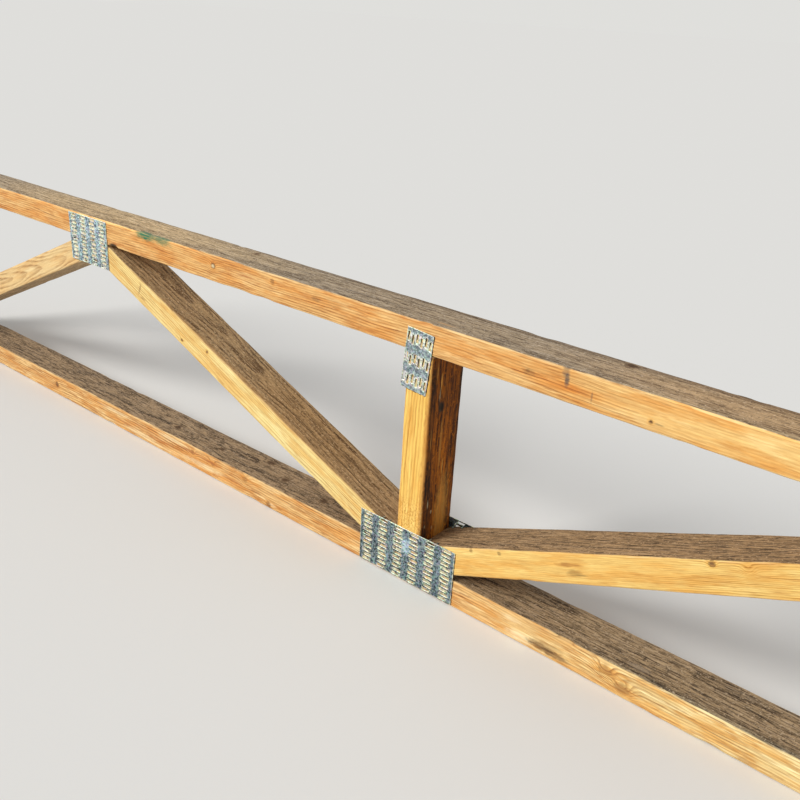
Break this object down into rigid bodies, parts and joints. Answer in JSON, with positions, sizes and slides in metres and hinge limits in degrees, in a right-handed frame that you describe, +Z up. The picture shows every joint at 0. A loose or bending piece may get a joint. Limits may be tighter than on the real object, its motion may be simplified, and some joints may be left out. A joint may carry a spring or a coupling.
{
  "type": "open-web wooden floor joist",
  "caption": "Parallel-chord wooden floor joist: flat lumber chords, upright posts and sloping webs joined by punched galvanised steel plates.",
  "frame": {"origin": "under the middle of the joist, on the underside of its bottom chord, centred across its width", "axes": "+X along the joist, +Y through it from the front face to the back face, +Z up"},
  "size_m": [2.6416, 0.0658, 0.3556],
  "materials": {
    "chord_lumber": "sawn and planed",
    "web_lumber": "sawn and planed",
    "galvanised_steel": "hot-dip galvanised, punched"
  },
  "bodies": {
    "root": {"bottom_chord": "chord_lumber", "bottom_corner_plate_left_back": "galvanised_steel", "bottom_corner_plate_left_front": "galvanised_steel", "bottom_corner_plate_right_back": "galvanised_steel", "bottom_corner_plate_right_front": "galvanised_steel", "bottom_joint_plate_back": "galvanised_steel", "bottom_joint_plate_front": "galvanised_steel", "end_post_left": "web_lumber", "end_post_right": "web_lumber", "inner_diagonal_left": "web_lumber", "inner_diagonal_right": "web_lumber", "middle_post": "web_lumber", "middle_post_plate_back": "galvanised_steel", "middle_post_plate_front": "galvanised_steel", "outer_diagonal_left": "web_lumber", "outer_diagonal_right": "web_lumber", "top_chord": "chord_lumber", "top_corner_plate_left_back": "galvanised_steel", "top_corner_plate_left_front": "galvanised_steel", "top_corner_plate_right_back": "galvanised_steel", "top_corner_plate_right_front": "galvanised_steel", "top_joint_plate_left_back": "galvanised_steel", "top_joint_plate_left_front": "galvanised_steel", "top_joint_plate_right_back": "galvanised_steel", "top_joint_plate_right_front": "galvanised_steel"}
  },
  "joints": []
}
